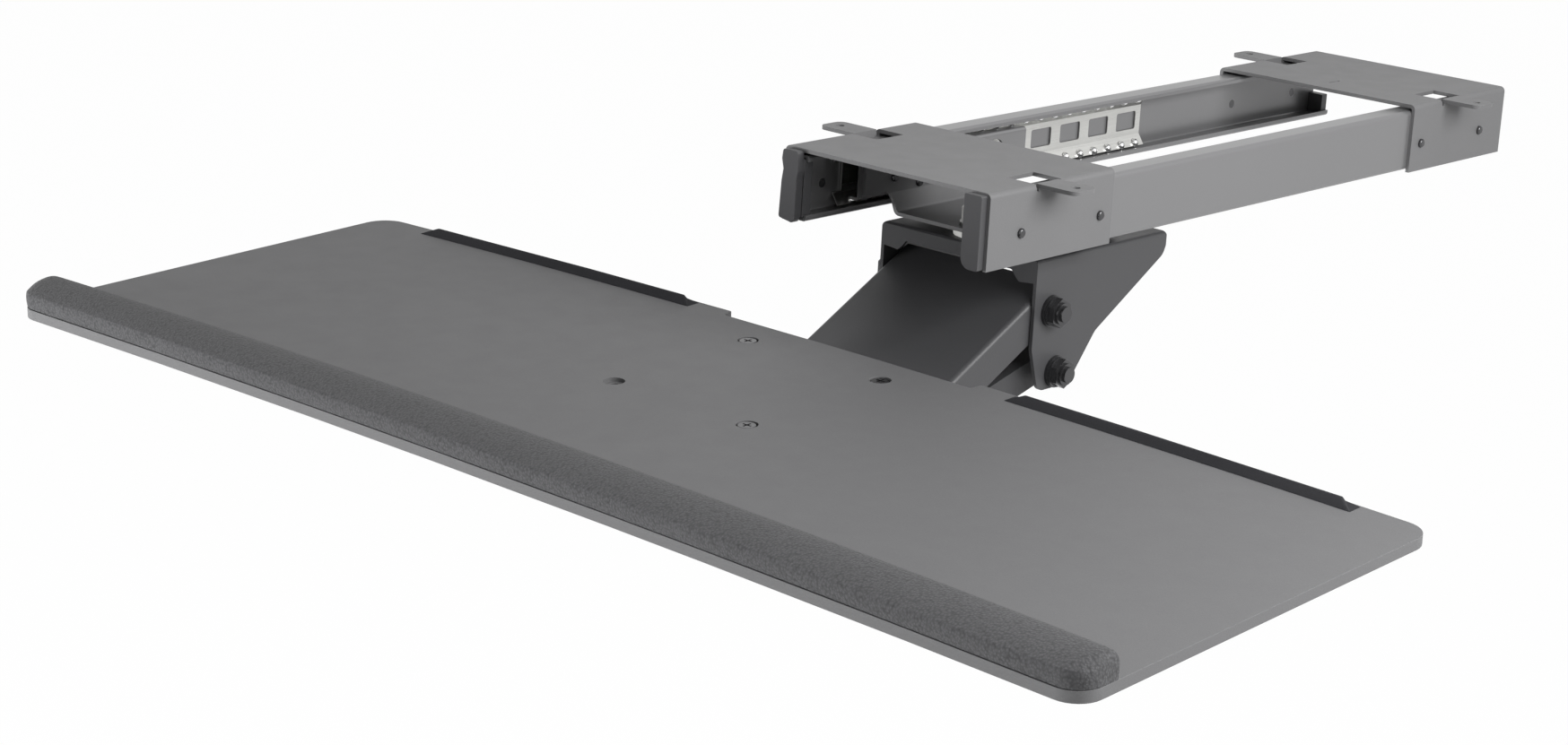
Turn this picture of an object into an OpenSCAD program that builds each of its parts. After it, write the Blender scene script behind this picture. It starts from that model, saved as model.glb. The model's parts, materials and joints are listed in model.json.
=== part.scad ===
// Keyboard tray on an articulated arm, hung from a ball-bearing slide track under a desk.
// Millimetres. The origin is the middle of the desk screw pattern, on the brackets' top faces,
// where they meet the desk's underside. +X is the user's right, +Y runs back under the desk, +Z is up.

/* [Desk brackets] */
// Length of the whole track, over both brackets
track_l = 461; // [430:1:500]
// Outside width of a bracket
bracket_w = 129.5; // [126:0.5:140]
// Depth of a bracket, front to back
bracket_d = 95; // [86:1:112]
// Height of a bracket's side flanges
flange_h = 37.5; // [37:0.5:40]
// Thickness of the bent steel sheet
sheet_t = 2; // [1.6:0.1:2.2]
// Radius inside a bend of the sheet
bend_r = 0.8; // [0.4:0.1:1.2]
// Distance from a bracket's outer end to the hole of its left screw tab, seen from that end
left_tab_back = 56.5; // [50:0.5:62]
// The same distance for its right screw tab
right_tab_back = 44.5; // [38:0.5:50]
// Length that a screw tab stands out of the flange
tab_reach = 22; // [18:0.5:26]
// Width of a screw tab
tab_w = 17; // [14:0.5:18]
// Distance from a tab's outer end to its hole
tab_hole_in = 7; // [5:0.5:9]
// Diameter of a desk screw hole
desk_hole_d = 4.5; // [4:0.1:6]
// Length of the window that each tab was folded out of
window_l = 20; // [19:0.5:24]
// Reach of that window towards the middle, from the flange
window_in = 16.5; // [14:0.5:22]

/* [Slide track] */
// Length of an outer rail
rail_l = 459; // [430:1:459]
// Height of an outer rail
rail_h = 33; // [32.5:0.1:34]
// Depth of an outer rail's channel
rail_d = 12.7; // [12:0.1:14]
// Thickness of the rails' steel
rail_t = 1.5; // [1.2:0.1:1.6]
// Drop of the rails' top below the desk
rail_drop = 3.4; // [3:0.1:3.6]
// Depth of a rail's turned-in edges
rail_lip = 3.1; // [2.4:0.1:3.4]
// Diameter of a ball
ball_d = 4.76; // [4:0.02:4.8]
// Distance between the balls of a row
ball_pitch = 12.4; // [9:0.1:16]
// Length of a ball cage
cage_l = 254; // [200:1:260]
// Thickness of a ball cage's sheet
cage_t = 0.6; // [0.4:0.05:0.7]
// Distance between a cage's windows
cage_pitch = 25.1; // [20:0.1:28]
// Length of a cage's window
cage_window_l = 17.2; // [12:0.1:18]
// Height of a cage's window
cage_window_h = 10; // [7:0.1:11]
// Length of an inner slide member
slide_l = 131; // [120:1:140]
// Height of an inner slide member
slide_h = 22.4; // [21:0.1:22.6]
// Distance from the rails' front ends to the slide members at rest
slide_back = 38; // [30:1:45]
// Diameter of the hole in an inner slide member
slide_hole_d = 15; // [8:0.5:17]
// Distance from a slide member's front end to that hole
slide_hole_back = 106; // [100:0.5:112]

/* [Front bumpers] */
// Width of a bumper
bumper_w = 10.4; // [9:0.1:12]
// Height of a bumper
bumper_h = 36; // [33:0.5:37]
// Length that a bumper stands in front of the brackets
bumper_l = 4.4; // [3:0.1:7]

/* [Carriage] */
// Length of the carriage pan
pan_l = 88.5; // [80:0.5:95]
// Distance from the pan's front end to the front of its floor
pan_notch = 22.2; // [18:0.2:24]
// Height of the pan's floor underside below the desk
pan_drop = 40.8; // [40.4:0.1:42]
// Width of the pan's floor
pan_floor_w = 90; // [80:1:94]
// Distance from the slide members' front ends to the swivel axis
swivel_back = 38.7; // [35:0.1:42]
// Diameter of the swivel bolt
swivel_d = 12; // [10:0.5:12]
// Diameter of the bearing disc and of the largest swivel washer
bearing_d = 30; // [28:1:36]
// Thickness of the bearing disc
bearing_t = 2.6; // [2:0.1:4]

/* [Arm] */
// Outside width of the arm mount
mount_w = 100; // [94:1:104]
// Depth of the arm mount, front to back
mount_l = 105; // [98:0.5:112]
// Distance from the mount's front face to the swivel axis
mount_fore = 18.8; // [17.5:0.1:20]
// Height from the mount's top down to the upper pivot
pivot_drop = 27.4; // [26:0.2:30]
// Distance from the swivel axis forward to the upper pivot
pivot_fore = 5.6; // [5:0.1:9]
// Distance from the swivel axis forward to the lower pivot
low_pivot_fore = -0.6; // [-2:0.1:2]
// Height between the upper and the lower pivot
pivot_gap = 31.8; // [30:0.1:34]
// Diameter of the pivot bolts
pivot_d = 8; // [6:0.5:8]
// Distance between an arm's rear and front pivots
arm_l = 118; // [105:1:150]
// Slope of the arm below level, at rest
arm_slope = 27.7; // [20:0.1:35]
// Side play between the arm mount's ears and the upper arm
arm_play = 0.5; // [0.3:0.1:0.8]
// Height of the upper arm's top above its pivots
arm_rise = 11; // [10:0.2:12]
// Depth of the upper arm's flanges below its pivots
arm_skirt = 8; // [7:0.2:9]
// Width of the lower link at its rear pivot
link_w = 84; // [76:1:88]
// Width of the lower link's narrow front
link_front_w = 50; // [44:1:60]
// Height of the lower link's top above its pivots
link_rise = 8.4; // [7.5:0.1:9]
// Depth of the lower link's flanges below its pivots
link_skirt = 6.2; // [5.5:0.1:7]
// Reach of the tilt bolt in front of the upper front pivot
tilt_reach = 18.1; // [17.5:0.1:22]
// Height of the tilt bolt above the upper front pivot
tilt_rise = 12.7; // [12:0.1:15]
// Diameter of the tilt knob
knob_d = 32; // [24:1:36]
// Length of the tilt knob
knob_l = 17; // [12:1:22]

/* [Board] */
// Width of the tray board
board_w = 660; // [560:5:720]
// Depth of the board at its sides
board_d = 236; // [230:1:256]
// Thickness of the board
board_t = 5; // [4:0.5:8]
// Pitch of the board at rest, rear edge higher
board_pitch = 2.7; // [0:0.1:6]
// Depth of the hollow curve along the front edge
front_sag = 7; // [0:0.5:12]
// Height of the bulging curve along the rear edge
rear_bulge = 12.5; // [10:0.5:20]
// Radius of the board's front corners
front_r = 12; // [8:0.5:20]
// Radius of the board's rear corners
rear_r = 14; // [8:0.5:30]
// Width of the recess in the rear edge
recess_w = 160; // [140:2:180]
// Depth of that recess
recess_d = 7; // [4:0.5:9]
// Distance between the left and right board screws
screw_gap_x = 84.8; // [70:0.2:86]
// Distance between the front and rear board screws
screw_gap_y = 90; // [70:0.2:94]
// Distance from the front edge to the front board screws
screw_fore = 129.5; // [122:0.5:134]
// Diameter of a board screw
screw_d = 5; // [4:0.5:5]
// Diameter of a board screw's head
screw_head_d = 9; // [8:0.2:10]
// Distance from the board's front edge to the tilt bolt
tilt_fore = 212.4; // [206:0.2:216]
// Distance from the board's underside down to the tilt bolt
tilt_drop = 21; // [20.5:0.1:26]
// Length of the tilt plate
plate_l = 112; // [106:1:118]
// Thickness of the tilt plate
plate_t = 2.5; // [2:0.1:3]

/* [Palm rest] */
// Depth of the palm rest at its ends
palm_d = 22.5; // [20:0.5:30]
// Extra depth of the palm rest at its middle
palm_extra = 2.6; // [0:0.2:6]
// Height of the palm rest's crown
palm_h = 12.3; // [11.5:0.1:18]
// Height of the palm rest's rear edge
palm_rear_h = 11.8; // [9:0.1:12]
// Height of the palm rest's front face
palm_front_h = 8.5; // [7:0.1:10]

/* [Stop strips] */
// Distance from the board's middle to a strip's inner end
strip_in = 101; // [92:0.5:120]
// Distance from the board's middle to a strip's outer end
strip_out = 293.6; // [250:0.5:300]
// Depth of a strip's foot
strip_d = 10; // [8:0.2:14]
// Height of a strip
strip_h = 3.2; // [2:0.2:6]

/* [Hidden] */

$fn = 48;
// Gap left between flat faces that turn or slide on each other
face_gap = 0.1;
// Radial play of a shaft that turns in its hole
turn_play = 0.08;
// Overlap of a cutting shape past the face that it cuts
over = 1;

// Slide track, seen from the front: x of the faces on the right side, z of the rails' middle
rail_out = bracket_w / 2 - sheet_t;
rail_in = rail_out - rail_d;
rail_z = -rail_drop - rail_h / 2;
rail_front = -rail_l / 2;
slide_x = rail_in - 0.8;
slide_flange = 6;
slide_front = rail_front + slide_back;
cage_x = rail_out - rail_t - 0.5 - cage_t / 2;
cage_web_h = 16.4;
ball_x = rail_out - 5.1;
ball_z = rail_h / 2 - rail_t - ball_d / 2 - 0.22;
cage_front = slide_front - 7.5;
cage_edge_z = rail_h / 2 - rail_t - 1.1;
cage_slant = (ball_z - cage_web_h / 2) / (cage_x - ball_x);
cage_edge_x = ball_x - (cage_edge_z - ball_z) / cage_slant;
ball_count = floor((cage_l - 14) / ball_pitch) + 1;
cage_window_count = floor((cage_l - 10) / cage_pitch);
rivet_d = 3;
rivet_head_d = 4.8;
rivet_back = [24.3, bracket_d - 9.6];
rivet_z = -22;
// Punched mark in the rear bracket's plate: width, length, and distances from the rear end and the middle
mark_w = 1.2;
mark_l = 10;
mark_back = 79.5;
mark_left = 1;
// The bumpers' rear faces, at the bracket's or the rail's end, whichever is further forward
bumper_back = min(-track_l / 2, rail_front);

// Carriage and swivel
pan_front = slide_front + 2;
pan_top_z = rail_z + slide_h / 2 - 3.3;
pan_rivets = [[8, 1.5], [27.5, -3.4], [65, 1.5]];
swivel_y = slide_front + swivel_back;
swivel_nut_af = 21;
swivel_nut_h = 8;
swivel_washer_t = 1.6;
swivel_head_h = 5.6;
mount_top = -pan_drop - face_gap - bearing_t - face_gap;

// Arm pivots in the side view, as y and z
mount_front = swivel_y - mount_fore;
pivot_a = [swivel_y - pivot_fore, mount_top - pivot_drop];
pivot_b = [swivel_y - low_pivot_fore, pivot_a.y - pivot_gap];
arm_step = arm_l * [-cos(arm_slope), -sin(arm_slope)];
front_a = pivot_a + arm_step;
front_b = pivot_b + arm_step;
tilt_c = front_a + [-tilt_reach, tilt_rise];
ear_in = mount_w / 2 - sheet_t;
arm_w = 2 * (ear_in - arm_play);
pivot_washer_d = 16;
pivot_washer_t = 1.6;
nut_af = 13;
nut_h = 6.5;
bolt_head_h = 5.3;
thread_out = 1.6;
spacer_d = 13;
// Rim of the head bracket's side plates round their bolts, and height of its wall's foot
head_margin = 11;
head_wall_rise = 10;

// Board frame: origin on the board's top at its front edge, at the sides
board_o = tilt_c - turned([tilt_fore, -board_t - tilt_drop], board_pitch);
tilt_in = mount_w / 2 + arm_play;
tilt_out = tilt_in + plate_t;
screw_rows = [screw_fore, screw_fore + screw_gap_y];
board_screw_places = [[-1, 1], [1, 1], [1, 0]];
plate_front = screw_fore - 13;
screw_nut_h = 4;
// Depth of the round recess that a board screw's head lies in, and the room round the head
screw_sink = 2;
screw_sink_room = 0.7;
// Rounding and length of the slope of the tilt plate's ears
ear_r = 11;
ear_run = 34;
// Distances along the rear edge from its corners and from its recess to the first points of the curve
corner_run = 30;
recess_run = 6;

// Vector of length one
function unit(v) = v / norm(v);
// A side-view vector turned by an angle, from y towards z
function turned(v, a) = [v.x * cos(a) - v.y * sin(a), v.x * sin(a) + v.y * cos(a)];
// Points that replace an outline's corner q by an arc of radius q.z between its neighbours p and s
function corner(p, q, s, n) =
    let (a = unit([p.x - q.x, p.y - q.y]), b = unit([s.x - q.x, s.y - q.y]))
    let (half = acos(a * b) / 2, c = [q.x, q.y] + unit(a + b) * q.z / sin(half))
    let (from = [q.x, q.y] + a * q.z / tan(half) - c, to = [q.x, q.y] + b * q.z / tan(half) - c)
    let (start = atan2(from.y, from.x), turn = (atan2(to.y, to.x) - start + 900) % 360 - 180)
    [for (i = [0:n]) c + q.z * [cos(start + turn * i / n), sin(start + turn * i / n)]];
// A closed outline of [x, y, radius] points with its corners rounded
function rounded(p, n = 6) = [for (i = [0:len(p) - 1]) each p[i].z > 0
    ? corner(p[(i + len(p) - 1) % len(p)], p[i], p[(i + 1) % len(p)], n)
    : [[p[i].x, p[i].y]]];
// An open line of [x, y, radius] points with its bends rounded
function bent(p, n = 5) = [for (i = [0:len(p) - 1]) each p[i].z > 0
    ? corner(p[i - 1], p[i], p[i + 1], n)
    : [[p[i].x, p[i].y]]];
// A point of a line moved sideways by d, mitred at the bends
function beside(p, i, d) =
    let (a = i > 0 ? unit(p[i] - p[i - 1]) : unit(p[1] - p[0]))
    let (b = i < len(p) - 1 ? unit(p[i + 1] - p[i]) : a, m = unit(a + b))
    p[i] + d * [-m.y, m.x] / (m * a);
// Outline of a sheet of thickness t along a line
function sheet(p, t) = concat(
    [for (i = [0:len(p) - 1]) beside(p, i, t / 2)],
    [for (i = [len(p) - 1:-1:0]) beside(p, i, -t / 2)]);
// Outline that runs round counter-clockwise centres at a distance r
function around(c, r, n = 8) = [for (i = [0:len(c) - 1])
    let (p = c[(i + len(c) - 1) % len(c)], s = c[(i + 1) % len(c)])
    let (a = c[i] - p, b = s - c[i], start = atan2(-a.x, a.y))
    let (turn = (atan2(-b.x, b.y) - start + 720) % 360)
    for (k = [0:n]) c[i] + r * [cos(start + turn * k / n), sin(start + turn * k / n)]];
// A side-to-side line repeated as its mirror image, for a symmetric section
function both_sides(p) = concat(
    [for (i = [0:len(p) - 1]) [-p[i].x, p[i].y, p[i].z]],
    [for (i = [len(p) - 1:-1:0]) p[i]]);

// An outline in x and z, extruded back from y0
module along_y(y0, l) {
    translate([0, y0 + l, 0]) rotate([90, 0, 0]) linear_extrude(l) children();
}
// An outline in y and z, extruded to the right from x0
module along_x(x0, l) {
    translate([x0, 0, 0]) rotate([90, 0, 90]) linear_extrude(l) children();
}
// The right-hand piece, or its mirror image on the left
module on_side(s) {
    mirror([s < 0 ? 1 : 0, 0, 0]) children();
}
// Places children in the side view at a pivot, turned to the arm's slope
module at_arm(pivot) {
    translate([0, pivot.x, pivot.y]) rotate([arm_slope, 0, 0]) children();
}
// Places children in the board's frame
module at_board() {
    translate([0, board_o.x, board_o.y]) rotate([board_pitch, 0, 0]) children();
}
// A cylinder along x from x0, at a point of the side view
module rod_x(x0, l, d, p) {
    translate([x0, p.x, p.y]) rotate([0, 90, 0]) cylinder(d = d, h = l);
}
// A hexagonal prism along x
module hex_x(x0, l, af, p) {
    translate([x0, p.x, p.y]) rotate([0, 90, 0]) cylinder(d = af / cos(30), h = l, $fn = 6);
}

// Desk brackets

module bracket() {
    flange_x = bracket_w / 2 - sheet_t / 2;
    root_z = sheet_t + 1.5;
    difference() {
        along_y(0, bracket_d)
            polygon(sheet(bent(both_sides([
                [flange_x, -flange_h, 0],
                [flange_x, -sheet_t / 2, bend_r + sheet_t / 2]])), sheet_t));
        for (s = [-1, 1]) {
            on_side(s)
                translate([bracket_w / 2 - sheet_t - window_in, tab_back(s) - window_l / 2, -root_z])
                    cube([window_in + sheet_t + over, window_l, root_z + over]);
            for (y = rivet_back)
                on_side(s)
                    rod_x(rail_out - over, sheet_t + 2 * over, rivet_d, [y, rivet_z]);
        }
    }
    for (s = [-1, 1])
        on_side(s) screw_tab(tab_back(s), root_z);
}

function tab_back(s) = s < 0 ? left_tab_back : right_tab_back;

module screw_tab(back, root_z) {
    tab_end = bracket_w / 2 + tab_reach;
    difference() {
        union() {
            translate([0, 0, -sheet_t])
                linear_extrude(sheet_t)
                    polygon(rounded([
                        [rail_out, back - tab_w / 2, 0],
                        [tab_end, back - tab_w / 2, 4.5],
                        [tab_end, back + tab_w / 2, 4.5],
                        [rail_out, back + tab_w / 2, 0]]));
            translate([rail_out, back - tab_w / 2, -root_z])
                cube([sheet_t, tab_w, root_z]);
        }
        translate([tab_end - tab_hole_in, back, -sheet_t - over])
            cylinder(d = desk_hole_d, h = sheet_t + 2 * over);
    }
}

module front_bracket() {
    color("#4a4a4c")
        translate([0, -track_l / 2, 0])
            bracket();
}

// The same bracket turned round, with a small punched mark in its plate
module rear_bracket() {
    color("#4a4a4c")
        difference() {
            translate([0, track_l / 2, 0]) rotate(180) bracket();
            translate([-mark_left - mark_w / 2, track_l / 2 - mark_back, -sheet_t - over])
                cube([mark_w, mark_l, sheet_t + 2 * over]);
        }
}

// Domed rivet through flange and rail, flush with the rail's inside
module bracket_rivet(y) {
    head_h = 1.6;
    rod_x(rail_out - rail_t, rail_t + sheet_t, rivet_d, [y, rivet_z]);
    translate([bracket_w / 2, y, rivet_z])
        rotate([0, 90, 0])
            rotate_extrude()
                polygon(rounded([
                    [0, 0, 0], [rivet_head_d / 2, 0, 0],
                    [rivet_head_d / 2, head_h, 1], [0, head_h, 0]]));
    translate([rail_out - rail_t, y, rivet_z])
        rotate([0, 90, 0])
            cylinder(d1 = rivet_head_d, d2 = rivet_d, h = 1);
}

module bracket_rivets(end) {
    color("silver")
        for (s = [-1, 1], y = rivet_back)
            on_side(s) bracket_rivet(end * (track_l / 2 - y));
}

module front_bracket_rivets() {
    bracket_rivets(-1);
}

module rear_bracket_rivets() {
    bracket_rivets(1);
}

// Slide track

module outer_rail() {
    difference() {
        along_y(rail_front, rail_l)
            translate([0, rail_z])
                polygon(sheet(bent([
                    [rail_in + rail_t / 2, rail_h / 2 - rail_lip, 0],
                    [rail_in + rail_t / 2, (rail_h - rail_t) / 2, 0.9],
                    [rail_out - rail_t / 2, (rail_h - rail_t) / 2, 1.6],
                    [rail_out - rail_t / 2, (rail_t - rail_h) / 2, 1.6],
                    [rail_in + rail_t / 2, (rail_t - rail_h) / 2, 0.9],
                    [rail_in + rail_t / 2, rail_lip - rail_h / 2, 0]]), rail_t));
        for (end = [-1, 1], y = rivet_back) {
            place = [end * (track_l / 2 - y), rivet_z];
            rod_x(rail_out - rail_t - over, rail_t + 2 * over, rivet_d, place);
            translate([rail_out - rail_t, place.x, place.y])
                rotate([0, 90, 0])
                    cylinder(d1 = rivet_head_d, d2 = rivet_d, h = 1);
        }
        // Keyhole near the rear end
        rod_x(rail_out - rail_t - over, rail_t + 2 * over, 4, [-rail_front - 8, rail_z + 3]);
        translate([rail_out - rail_t - over, -rail_front - 9, rail_z + 3])
            cube([rail_t + 2 * over, 2, 5]);
    }
}

module left_outer_rail() {
    color("#3a3a3c") on_side(-1) outer_rail();
}

module right_outer_rail() {
    color("#3a3a3c") on_side(1) outer_rail();
}

// Block in front of the bracket, with a plug that grips inside the rail
module bumper(outline) {
    plug_in = rail_in + rail_t + 0.2;
    plug_h = rail_h - 2 * rail_t - 1;
    along_y(bumper_back - bumper_l, bumper_l) polygon(outline);
    translate([plug_in, bumper_back, rail_z - plug_h / 2])
        cube([rail_out - rail_t - 0.2 - plug_in, rail_front - bumper_back + 5, plug_h]);
}

// The left bumper narrows above a step and swells again towards its foot
module left_front_bumper() {
    outer_x = rail_out + 0.2;
    inner_x = outer_x - bumper_w;
    top_z = -1;
    foot_z = top_z - bumper_h;
    color("#2f2f31")
        on_side(-1)
            bumper(rounded([
                [outer_x - 0.6, top_z, 1.5], [outer_x, top_z - 5, 3], [outer_x - 1.2, top_z - 10, 1.5],
                [outer_x - 0.3, top_z - 16, 4], [outer_x + 0.6, foot_z + 1.5, 1.5],
                [inner_x + 2, foot_z, 1.5], [inner_x + 0.4, foot_z + 2, 1],
                [inner_x + 0.2, top_z - 14, 2], [inner_x - 0.6, top_z - 10, 1.2],
                [inner_x, top_z, 1.5]]));
}

// The right bumper has straight sides and one large rounded lower corner
module right_front_bumper() {
    outer_x = rail_out + 0.2;
    inner_x = outer_x - bumper_w;
    top_z = -1;
    foot_z = top_z - bumper_h;
    color("#2f2f31")
        on_side(1)
            bumper(rounded([
                [inner_x, top_z, 1], [inner_x, foot_z, 5.5],
                [outer_x, foot_z, 1], [outer_x, top_z, 1]]));
}

// Blocks that end the slide members' travel inside the rails
module rail_end_stops() {
    stop_h = 11;
    stop_l = 5;
    in = rail_in + rail_t;
    out = rail_out - rail_t;
    foot = rail_z - rail_h / 2 + rail_t;
    color("#2f2f31")
        for (s = [-1, 1])
            on_side(s)
                along_y(-rail_front - stop_l, stop_l)
                    polygon(rounded([
                        [in, foot, 0.4], [out, foot, 1.3], [out, foot + stop_h, 0.5],
                        [in, foot + stop_h, 0.5]], 3));
}

// Cage of thin sheet: an upright web with windows, and two slanted edges that hold the balls
module ball_cage() {
    slant_l = norm([cage_edge_x - cage_x, cage_edge_z - cage_web_h / 2]);
    difference() {
        along_y(cage_front, cage_l)
            translate([0, rail_z])
                polygon(sheet([
                    [cage_edge_x, cage_edge_z], [cage_x, cage_web_h / 2],
                    [cage_x, -cage_web_h / 2], [cage_edge_x, -cage_edge_z]], cage_t));
        for (i = [0:cage_window_count - 1])
            translate([cage_x - cage_t, cage_window_y(i), rail_z])
                along_x(0, 2 * cage_t)
                    polygon(rounded([
                        [0, -cage_window_h / 2, 1.2], [cage_window_l, -cage_window_h / 2, 1.2],
                        [cage_window_l, cage_window_h / 2, 1.2], [0, cage_window_h / 2, 1.2]], 3));
        // The web starts behind the slanted edges' front ends
        translate([cage_x - cage_t, cage_front - over, rail_z - cage_web_h / 2 + 0.6])
            cube([2 * cage_t, 6 + over, cage_web_h - 1.2]);
        // Round seats of the balls
        for (i = [0:ball_count - 1], z = [-ball_z, ball_z])
            translate([ball_x, ball_y(i), rail_z + z])
                rotate([0, z > 0 ? -atan2(1, cage_slant) : atan2(1, cage_slant), 0])
                    rotate([0, 90, 0])
                        translate([0, 0, -2 * cage_t])
                            cylinder(d = ball_d + 0.1, h = 4 * cage_t, $fn = 24);
    }
}

function cage_window_y(i) = cage_front + cage_l - 4.3 - cage_window_l - i * cage_pitch;
function ball_y(i) = cage_front + cage_l - 7 - i * ball_pitch;

module cage_balls() {
    for (i = [0:ball_count - 1], z = [-ball_z, ball_z])
        translate([ball_x, ball_y(i), rail_z + z]) sphere(d = ball_d, $fn = 24);
}

module left_ball_cage() {
    color("#d8d8da") on_side(-1) ball_cage();
}

module right_ball_cage() {
    color("#d8d8da") on_side(1) ball_cage();
}

module left_cage_balls() {
    color("white") on_side(-1) cage_balls();
}

module right_cage_balls() {
    color("white") on_side(1) cage_balls();
}

// Inner member: a channel whose flanges run under the balls
module inner_slide() {
    x = slide_x + rail_t / 2;
    flange_x = slide_x + slide_flange;
    z = (slide_h - rail_t) / 2;
    difference() {
        along_y(slide_front, slide_l)
            translate([0, rail_z])
                polygon(sheet(bent([
                    [flange_x, z, 0], [x, z, 1.2], [x, -z, 1.2], [flange_x, -z, 0]]), rail_t));
        rod_x(slide_x - over, rail_t + 2 * over, slide_hole_d,
              [slide_front + slide_hole_back, rail_z]);
        for (p = pan_rivets)
            rod_x(slide_x - over, rail_t + 2 * over, rivet_d, pan_rivet_place(p));
    }
}

function pan_rivet_place(p) = [pan_front + 14 + p.x, rail_z - 3 + p.y];

module left_inner_slide() {
    color("#2a2a2c") on_side(-1) inner_slide();
}

module right_inner_slide() {
    color("#2a2a2c") on_side(1) inner_slide();
}

// Carriage

// Trough between the slide members; its floor starts behind the walls' front ends
module carriage_pan() {
    wall_x = slide_x - sheet_t / 2;
    bend_z = -pan_drop + 11.5;
    color("#4a4a4c")
        difference() {
            along_y(pan_front, pan_l)
                polygon(sheet(bent(both_sides([
                    [wall_x, pan_top_z, 0], [wall_x, bend_z, 2.5],
                    [pan_floor_w / 2, -pan_drop + sheet_t / 2, 2.5]])), sheet_t));
            along_x(-slide_x - over, 2 * (slide_x + over))
                polygon(rounded([
                    [pan_front - over, -pan_drop - over, 0],
                    [pan_front + pan_notch, -pan_drop - over, 0],
                    [pan_front + pan_notch - 1.5, bend_z + 1, 7],
                    [pan_front - over, bend_z + 1, 0]]));
            translate([0, swivel_y, -pan_drop - over])
                cylinder(d = swivel_d, h = sheet_t + 2 * over);
            for (s = [-1, 1], p = pan_rivets)
                on_side(s)
                    rod_x(slide_x - sheet_t - over, sheet_t + 2 * over, rivet_d, pan_rivet_place(p));
        }
}

module carriage_rivets() {
    color("silver")
        for (s = [-1, 1], p = pan_rivets)
            on_side(s) {
                rod_x(slide_x - sheet_t, sheet_t + rail_t, rivet_d, pan_rivet_place(p));
                translate([slide_x - sheet_t, pan_rivet_place(p).x, pan_rivet_place(p).y])
                    rotate([0, -90, 0])
                        rotate_extrude()
                            polygon(rounded([
                                [0, 0, 0], [rivet_head_d / 2, 0, 0],
                                [rivet_head_d / 2, 1.4, 1], [0, 1.4, 0]]));
                rod_x(slide_x + rail_t, 1, rivet_head_d, pan_rivet_place(p));
            }
}

swivel_head_washer_ds = [bearing_d - 4, bearing_d - 7, bearing_d - 10];
swivel_stack_z = mount_top - sheet_t - face_gap;
swivel_head_top = swivel_stack_z - 1.2 * len(swivel_head_washer_ds);
swivel_nut_z = -pan_drop + sheet_t + swivel_washer_t;

module swivel_bolt() {
    color("#c8c8ca")
        translate([0, swivel_y, 0]) {
            translate([0, 0, swivel_head_top])
                cylinder(d = swivel_d, h = swivel_nut_z + swivel_nut_h + 2 - swivel_head_top);
            translate([0, 0, swivel_head_top - swivel_head_h])
                cylinder(d = 19 / cos(30), h = swivel_head_h, $fn = 6);
        }
}

module swivel_nut() {
    color("#c8c8ca")
        translate([0, swivel_y, swivel_nut_z])
            difference() {
                cylinder(d = swivel_nut_af / cos(30), h = swivel_nut_h, $fn = 6);
                translate([0, 0, -over]) cylinder(d = swivel_d, h = swivel_nut_h + 2 * over);
            }
}

module ring(od, id, h) {
    difference() {
        cylinder(d = od, h = h);
        translate([0, 0, -over]) cylinder(d = id, h = h + 2 * over);
    }
}

module swivel_nut_washer() {
    color("#c8c8ca")
        translate([0, swivel_y, -pan_drop + sheet_t]) ring(24, swivel_d, swivel_washer_t);
}

module swivel_bearing_disc() {
    color("#e0e0dc")
        translate([0, swivel_y, mount_top + face_gap])
            ring(bearing_d, swivel_d, bearing_t + face_gap);
}

module swivel_head_washers() {
    color("#c8c8ca")
        for (i = [0:len(swivel_head_washer_ds) - 1])
            translate([0, swivel_y, swivel_stack_z - 1.2 * (i + 1)])
                ring(swivel_head_washer_ds[i], swivel_d, 1.2);
}

// Arm

// Folded sheet: top plate, two ears and a short front skirt with stepped ends
module arm_mount() {
    ear_x = mount_w / 2 - sheet_t / 2;
    rear = mount_front + mount_l;
    top = mount_top;
    color("#444446")
        difference() {
            union() {
                intersection() {
                    along_y(mount_front, mount_l)
                        polygon(sheet(bent(both_sides([
                            [ear_x, pivot_b.y - 20, 0],
                            [ear_x, top - sheet_t / 2, bend_r + sheet_t / 2]])), sheet_t));
                    along_x(-mount_w / 2 - over, mount_w + 2 * over)
                        polygon(rounded([
                            [mount_front, top, 2.5], [mount_front, pivot_a.y - 18, 6],
                            [pivot_b.x - 12.5, pivot_b.y - 8.3, 6],
                            [pivot_b.x + 12, pivot_b.y - 8.3, 5],
                            [pivot_b.x + 31, pivot_b.y + 15.5, 12],
                            [rear - 2, top - 12.4, 7], [rear, top - 8, 4], [rear, top, 3]]));
                }
                along_y(mount_front, sheet_t) polygon(skirt());
            }
            translate([0, swivel_y, top - sheet_t - over])
                cylinder(d = swivel_d + 2 * turn_play, h = sheet_t + 2 * over);
            for (p = [pivot_a, pivot_b])
                rod_x(-mount_w / 2 - over, mount_w + 2 * over, pivot_d, p);
        }
}

// Outline of the mount's front skirt, seen from the front
function skirt() =
    let (foot = mount_top - 7.7, deep = mount_top - 13, step = ear_in - 9)
    rounded([
        [-ear_in - 1, mount_top - 1, 0], [-ear_in - 1, deep + 1, 0], [-step, deep, 0.5],
        [3 - step, foot - 2.6, 0.5], [5 - step, foot, 1],
        [step - 5, foot, 1], [step - 3, foot - 2.6, 0.5], [step, deep, 0.5],
        [ear_in + 1, deep + 1, 0], [ear_in + 1, mount_top - 1, 0]], 3);

// Bolt along x through a pair of plates, head on the left
module cross_bolt(p, half_w) {
    washer_x = half_w + pivot_washer_t;
    rod_x(-washer_x, 2 * washer_x + nut_h + thread_out, pivot_d, p);
    hex_x(-washer_x - bolt_head_h, bolt_head_h, nut_af, p);
}

// Washers under a cross bolt's head and nut
module cross_washers(p, half_w) {
    for (x = [-half_w - pivot_washer_t, half_w])
        translate([x, p.x, p.y]) rotate([0, 90, 0]) ring(pivot_washer_d, pivot_d, pivot_washer_t);
}

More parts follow.
